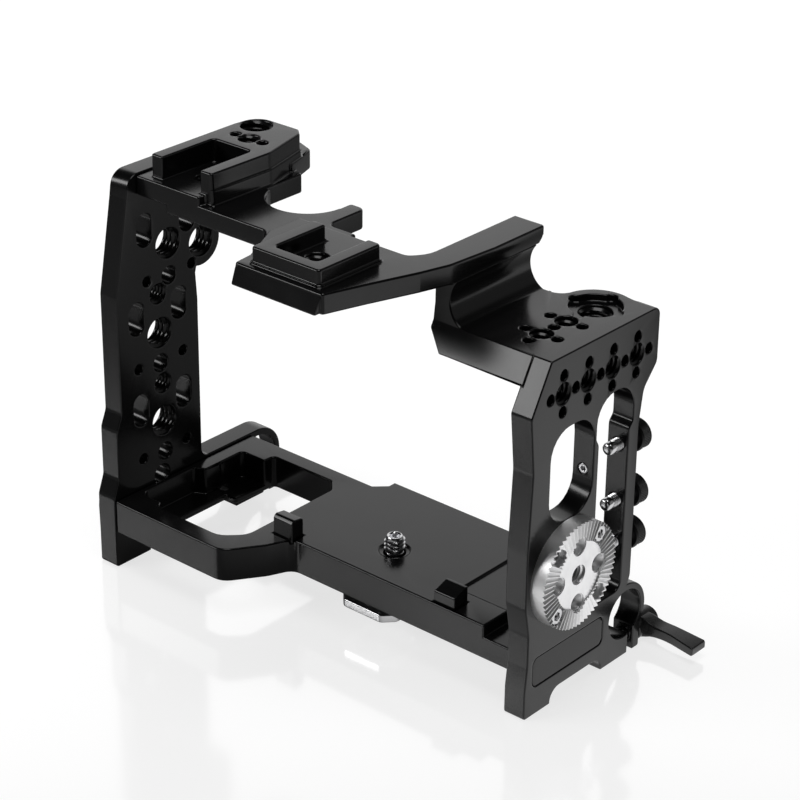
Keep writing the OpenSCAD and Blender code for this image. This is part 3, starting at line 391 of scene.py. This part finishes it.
knurl_black = anodised("knurl_black", (0.3, 0.42), 0.2 * MM, 0.15)
for place in ("upper", "middle", "lower"):
    knob_low, knob_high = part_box(place + "_clamp_knob")
    pin_low, pin_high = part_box(place + "_clamp_pin")
    pin_z = (knob_low.z + knob_high.z) / 2
    mesh = knurled_knob((pin_x * MM, knob_low.y, pin_z), knob_high.y - knob_low.y,
                        (knob_high.z - knob_low.z) / 2)
    knob = finish_piece(place + "_knurled_knob", mesh, knurl_black, place + "_knob",
                        25.0)
    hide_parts(place + "_clamp_knob")
    mesh = bmesh.new()
    collar_at = strut_back * MM + 0.5 * MM - pin_low.y
    turned(mesh, (pin_x * MM, pin_low.y, pin_z), (0, 1, 0), [
        (core * 0.2, 0), (core * 0.5, 0.08 * MM), (core * 0.75, 0.25 * MM), (core * 0.92, 0.55 * MM),
        (core, 1.0 * MM), (core, 2.2 * MM), (groove, 2.5 * MM), (groove, collar_at),
        (collar, collar_at), (collar, collar_at + collar_depth), (core, collar_at + collar_depth),
        (core, pin_high.y - pin_low.y)])
    add_ridge(mesh, (pin_x * MM, pin_low.y + thread_start, pin_z), (0, 1, 0),
              collar_at - thread_start, groove, core, 0.7 * MM)
    screw = finish_piece(place + "_clamp_screw", mesh, ground_steel, place + "_screw")
    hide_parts(place + "_clamp_pin")


# Rod clamp levers: a steel bolt closes the split ring of each side plate. The cast handle, powder
# coated black, lifts off the bolt's core against a coil spring that a socket screw holds.
def powder_coat():
    """Satin black powder coat with a fine orange peel."""
    finish, tree, shader = new_finish("lever_powder_coat", (0.012, 0.012, 0.012, 1), 0.0, 0.5)
    peel = clouds(tree, 0.7 * MM, 2.0)
    blend_colours(tree, clouds(tree, 6 * MM), (0.01, 0.01, 0.01, 1), (0.017, 0.017, 0.017, 1),
                  shader)
    tree.links.new(spread(tree, peel, 0.2, 0.3), shader.inputs["Roughness"])
    roughen(tree, shader, peel, 0.08, 0.04 * MM)
    return finish


def rounded_section(front, back, low, high, radius):
    """Corners of a rounded rectangle, y and z, four points to each corner."""
    points = []
    for cy, cz, first in ((1, 1, 0), (-1, 1, 90), (-1, -1, 180), (1, -1, 270)):
        y = (back if cy > 0 else front) - cy * radius
        z = (high if cz > 0 else low) - cz * radius
        for step in (0, 30, 60, 90):
            turn = math.radians(first + step)
            points.append((y + radius * math.cos(turn), z + radius * math.sin(turn)))
    return points


def lever_handle(side, axis_x, axis_z, low_y, high_y, reach):
    """Hub with chamfered rims and an arm that falls in a hollow curve to a flat thumb end."""
    mesh = bmesh.new()
    hub_r, wall = 3.8 * MM, 1.05 * MM
    length = high_y - low_y
    turned(mesh, (axis_x, low_y, axis_z), (0, 1, 0), [
        (2.75 * MM, 2.2 * MM), (2.75 * MM, 0), (hub_r - 0.35 * MM, 0), (hub_r, 0.35 * MM),
        (hub_r, length - 0.6 * MM), (hub_r - 0.5 * MM, length), (hub_r - wall, length),
        (hub_r - wall, 2.8 * MM), (1.4 * MM, 2.8 * MM), (1.4 * MM, 2.2 * MM)], 48)
    arm_y = low_y + 4.65 * MM
    stations = [(0.6, -3.3, 3.4, 2.5, 2.5, 0.7), (2.4, -3.1, 3.35, 2.5, 2.5, 0.7),
                (4.0, -2.5, 3.1, 2.5, 2.5, 0.7), (5.6, -1.75, 2.6, 2.55, 2.55, 0.6),
                (7.2, -1.3, 2.25, 2.6, 2.6, 0.5), (9, -1.05, 2.15, 2.6, 2.6, 0.4),
                (11, -0.95, 2.15, 2.6, 2.6, 0.35), (13.5, -0.95, 2.05, 2.8, 2.6, 0.35),
                (16.5, -1.0, 1.85, 3.3, 2.65, 0.35), (reach / MM - 0.45, -1.1, 1.5, 4.0, 2.75, 0.35),
                (reach / MM, -0.75, 1.15, 3.7, 2.45, 0.3)]
    rings = []
    for x, low, high, front, back, corner in stations:
        section = rounded_section(-front * MM, back * MM, low * MM, high * MM, corner * MM)
        rings.append([mesh.verts.new((axis_x + side * x * MM, arm_y + y, axis_z + z))
                      for y, z in section])
    for a, b in zip(rings, rings[1:]):
        for i in range(len(a)):
            j = (i + 1) % len(a)
            mesh.faces.new((a[i], a[j], b[j], b[i]))
    mesh.faces.new(list(reversed(rings[0])))
    mesh.faces.new(rings[-1])
    return mesh


def coil_spring(centre, start_y, length, radius, wire, turns):
    """Compression spring along Y, wound from round wire."""
    mesh = bmesh.new()
    steps, sides = 20, 8
    rings = []
    for k in range(turns * steps + 1):
        angle = 2 * math.pi * k / steps
        y = start_y + wire + (length - 2 * wire) * k / (turns * steps)
        out = Vector((math.cos(angle), 0, math.sin(angle)))
        middle = Vector((centre[0], y, centre[1])) + out * radius
        rings.append([mesh.verts.new(middle + (out * math.cos(t) + Vector((0, 1, 0)) * math.sin(t))
                                     * wire) for t in (2 * math.pi * s / sides for s in range(sides))])
    for a, b in zip(rings, rings[1:]):
        for i in range(sides):
            j = (i + 1) % sides
            mesh.faces.new((a[i], a[j], b[j], b[i]))
    mesh.faces.new(list(reversed(rings[0])))
    mesh.faces.new(rings[-1])
    return mesh


lever_coat = powder_coat()
coil_r, wire_r, coil_turns = 2.05 * MM, 0.3 * MM, 6
dress(["right_lever_core", "left_lever_core", "right_clamp_bolt", "left_clamp_bolt"],
      ground_steel, 0.15 * MM, 2)
dress(["right_lever_screw", "left_lever_screw"], black_steel, 0.15 * MM, 2)
for hand, side in (("right", 1), ("left", -1)):
    core_low, core_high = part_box(hand + "_lever_core")
    hub_low, hub_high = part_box(hand + "_lever_handle")
    coil_low, coil_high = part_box(hand + "_lever_spring")
    axis_x = (core_low.x + core_high.x) / 2
    axis_z = (core_low.z + core_high.z) / 2
    reach = hub_high.x - axis_x if side > 0 else axis_x - hub_low.x
    handle = finish_piece(hand + "_clamp_handle",
                          lever_handle(side, axis_x, axis_z, hub_low.y, hub_high.y, reach),
                          lever_coat, hand + "_lever", 50.0)
    flats = handle.modifiers.new("even shading", "WEIGHTED_NORMAL")
    flats.weight = 80
    flats.keep_sharp = True
    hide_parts(hand + "_lever_handle")
    coil = finish_piece(hand + "_clamp_spring",
                        coil_spring((axis_x, axis_z), coil_low.y, coil_high.y - coil_low.y,
                                    coil_r, wire_r, coil_turns),
                        ground_steel, hand + "_lever_turn", 60.0)
    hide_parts(hand + "_lever_spring")
    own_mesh(coil)

# Camera screw: a stainless quarter inch screw with a coined head and a hexagon socket in its tip.
# It turns freely in the base plate, held there by a steel ring, over a nylon slip washer.
stainless = steel("stainless", (0.66, 0.66, 0.67), (0.12, 0.24), 0.5 * MM)
screw_low, screw_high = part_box("camera_screw")
neck_end, thread_from = -4.3 * MM, -0.3 * MM
neck, shank, root, crest, head = 2.3 * MM, 2.72 * MM, 2.58 * MM, 3.1 * MM, 6 * MM
head_top = screw_low.z + 4 * MM
mesh = bmesh.new()
turned(mesh, (0, 0, 0), (0, 0, 1), [
    (0.45 * head, screw_low.z + 0.5 * MM), (0.5 * head, screw_low.z), (head - 0.5 * MM, screw_low.z),
    (head, screw_low.z + 0.5 * MM), (head, head_top - 0.4 * MM), (head - 0.4 * MM, head_top),
    (neck, head_top), (neck, neck_end), (shank, neck_end + 0.4 * MM), (shank, thread_from),
    (root, thread_from + 0.15 * MM),
    (root, screw_high.z - 0.75 * MM), (root - 0.1 * MM, screw_high.z - 0.3 * MM),
    (root - 0.35 * MM, screw_high.z), (1.95 * MM, screw_high.z),
    (hexagon(3 * MM), screw_high.z - 0.25 * MM), (hexagon(3 * MM), screw_high.z - 2.4 * MM)], 48)
add_ridge(mesh, (0, 0, thread_from), (0, 0, 1), screw_high.z - thread_from - 0.15 * MM,
          root, crest, 1.27 * MM)
screw = finish_piece("tripod_screw", mesh, stainless, "camera_screw_turn", 30.0)
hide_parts("camera_screw")
dress(["ring_pin"], ground_steel, 0.2 * MM, 2)
dress(["screw_retainer"], black_steel, 0.1 * MM, 2)


def nylon():
    """Black nylon, slightly waxy."""
    finish, tree, shader = new_finish("black_nylon", (0.02, 0.02, 0.02, 1), 0.0, 0.4)
    mottle = clouds(tree, 1.2 * MM)
    blend_colours(tree, mottle, (0.015, 0.015, 0.015, 1), (0.026, 0.026, 0.026, 1), shader)
    tree.links.new(spread(tree, mottle, 0.45, 0.6), shader.inputs["Roughness"])
    return finish


dress(["screw_washer"], nylon(), 0.1 * MM, 2)

# Folding ring: a flat steel bow, plated bright, that turns on a pin through the screw's head.
# It folds flat under the base plate and swings down to be gripped.
dress(["folding_ring"], stainless, 0.4 * MM)

# Set: a pale glossy table under a white sweep, one soft box in front to the left, one above,
# and the camera where the photograph was taken from. The table glows evenly for the camera. In
# reflections and in the light it throws on the cage, its glow is painted light to the right and
# painted shade to the left, behind and at the front.
floor_z = cad_box[0][2]
half_table = 3.0
data = bpy.data.meshes.new("floor")
data.from_pydata([(x * half_table, y * half_table, floor_z)
                  for x, y in ((-1, -1), (1, -1), (1, 1), (-1, 1))], [], [(0, 1, 2, 3)])
floor = bpy.data.objects.new("floor", data)
bpy.context.scene.collection.objects.link(floor)
floor_finish, tree, shader = new_finish("white_acrylic", (0.35, 0.35, 0.35, 1), 0.0, 1.0)
shader.inputs["Emission Color"].default_value = (1, 1, 1, 1)
place = tree.nodes.new("ShaderNodeTexCoord")


def painted_table_glow(direction, start, end, low, high):
    """Painted glow of the table, which grows along a direction from start to end, in metres."""
    along = tree.nodes.new("ShaderNodeVectorMath")
    along.operation = "DOT_PRODUCT"
    along.inputs[1].default_value = direction
    tree.links.new(place.outputs["Object"], along.inputs[0])
    glow = tree.nodes.new("ShaderNodeMapRange")
    for socket, value in (("From Min", start), ("From Max", end), ("To Min", low), ("To Max", high)):
        glow.inputs[socket].default_value = value
    tree.links.new(along.outputs["Value"], glow.inputs["Value"])
    return glow.outputs["Result"]


# Painted light and painted shade in the table's glow, seen only in reflections and in the light it
# casts: bright to the right, dark to the left, behind and at the front. The camera sees an even glow.
painted_glow_falloff = tree.nodes.new("ShaderNodeMath")
painted_glow_falloff.operation = "MULTIPLY"
tree.links.new(painted_table_glow((1, -0.75, 0), 0.015, 0.045, 0.08, 0.85), painted_glow_falloff.inputs[0])
tree.links.new(painted_table_glow((0, 1, 0), -0.05, -0.01, 0.3, 1), painted_glow_falloff.inputs[1])
path = tree.nodes.new("ShaderNodeLightPath")
table_glow = tree.nodes.new("ShaderNodeMix")
table_glow.inputs["B"].default_value = 0.74
tree.links.new(path.outputs["Is Camera Ray"], table_glow.inputs["Factor"])
tree.links.new(painted_glow_falloff.outputs["Value"], table_glow.inputs["A"])
tree.links.new(table_glow.outputs["Result"], shader.inputs["Emission Strength"])
tree.links.new(spread(tree, clouds(tree, 0.3), 0.08, 0.12), shader.inputs["Roughness"])
data.materials.append(floor_finish)


def soft_box(name, direction, distance, size, watts):
    """Rectangular soft light that faces the middle of the cage."""
    light = bpy.data.lights.new(name, "AREA")
    light.shape = "RECTANGLE"
    light.size, light.size_y = size
    light.energy = watts
    lamp = bpy.data.objects.new(name, light)
    middle = Vector((0, 0, 0.04))
    lamp.location = middle + Vector(direction).normalized() * distance
    lamp.rotation_euler = (middle - lamp.location).to_track_quat("-Z", "Y").to_euler()
    bpy.context.scene.collection.objects.link(lamp)


soft_box("key_box", (-0.58, -0.69, 0.42), 1.0, (0.6, 0.22), 2.9)
soft_box("top_box", (0.1, -0.1, 1.0), 1.0, (0.5, 0.5), 3.0)

world = bpy.data.worlds.new("white_sweep")
bpy.context.scene.world = world
world.use_nodes = True
sky = world.node_tree
aim = sky.nodes.new("ShaderNodeTexCoord")
parts = sky.nodes.new("ShaderNodeSeparateXYZ")
sky.links.new(aim.outputs["Generated"], parts.inputs["Vector"])


def fade(axis, start, end, low, high):
    """Smooth change of brightness with one component of the direction."""
    edge = sky.nodes.new("ShaderNodeMapRange")
    edge.interpolation_type = "SMOOTHSTEP"
    for socket, value in (("From Min", start), ("From Max", end), ("To Min", low), ("To Max", high)):
        edge.inputs[socket].default_value = value
    sky.links.new(parts.outputs[axis], edge.inputs["Value"])
    return edge.outputs["Result"]


def both(one, other):
    """Product of two factors."""
    product = sky.nodes.new("ShaderNodeMath")
    product.operation = "MULTIPLY"
    sky.links.new(one, product.inputs[0])
    sky.links.new(other, product.inputs[1])
    return product.outputs["Value"]


sweep = both(both(fade("Y", 0.1, 0.45, 0.06, 1.0), fade("Z", 0.54, 0.64, 1.0, 0.06)),
             fade("X", -0.1, 0.2, 1.0, 0.2))
seen = sky.nodes.new("ShaderNodeLightPath")
backdrop = sky.nodes.new("ShaderNodeMix")
backdrop.inputs["B"].default_value = 1.0
sky.links.new(seen.outputs["Is Camera Ray"], backdrop.inputs["Factor"])
sky.links.new(sweep, backdrop.inputs["A"])
sky.links.new(backdrop.outputs["Result"], sky.nodes["Background"].inputs["Strength"])
sky.nodes["Background"].inputs["Color"].default_value = (1, 1, 1, 1)

camera_data = bpy.data.cameras.new("camera")
camera_data.sensor_width = 36
camera_data.lens = 113.73
camera = bpy.data.objects.new("camera", camera_data)
right = Vector((0.75527169, 0.65532934, 0.01039868))
down = Vector((0.29843545, -0.32973671, -0.89566176))
ahead = Vector((-0.5835246, 0.67957131, -0.4446143))
turn = Matrix((right, -down, -ahead)).transposed().to_4x4()
viewpoint = Vector((0.418982, -0.486308, 0.3675566))
camera.matrix_world = Matrix.Translation(viewpoint) @ turn
bpy.context.scene.collection.objects.link(camera)
bpy.context.scene.camera = camera
bpy.context.scene.view_settings.view_transform = "Standard"
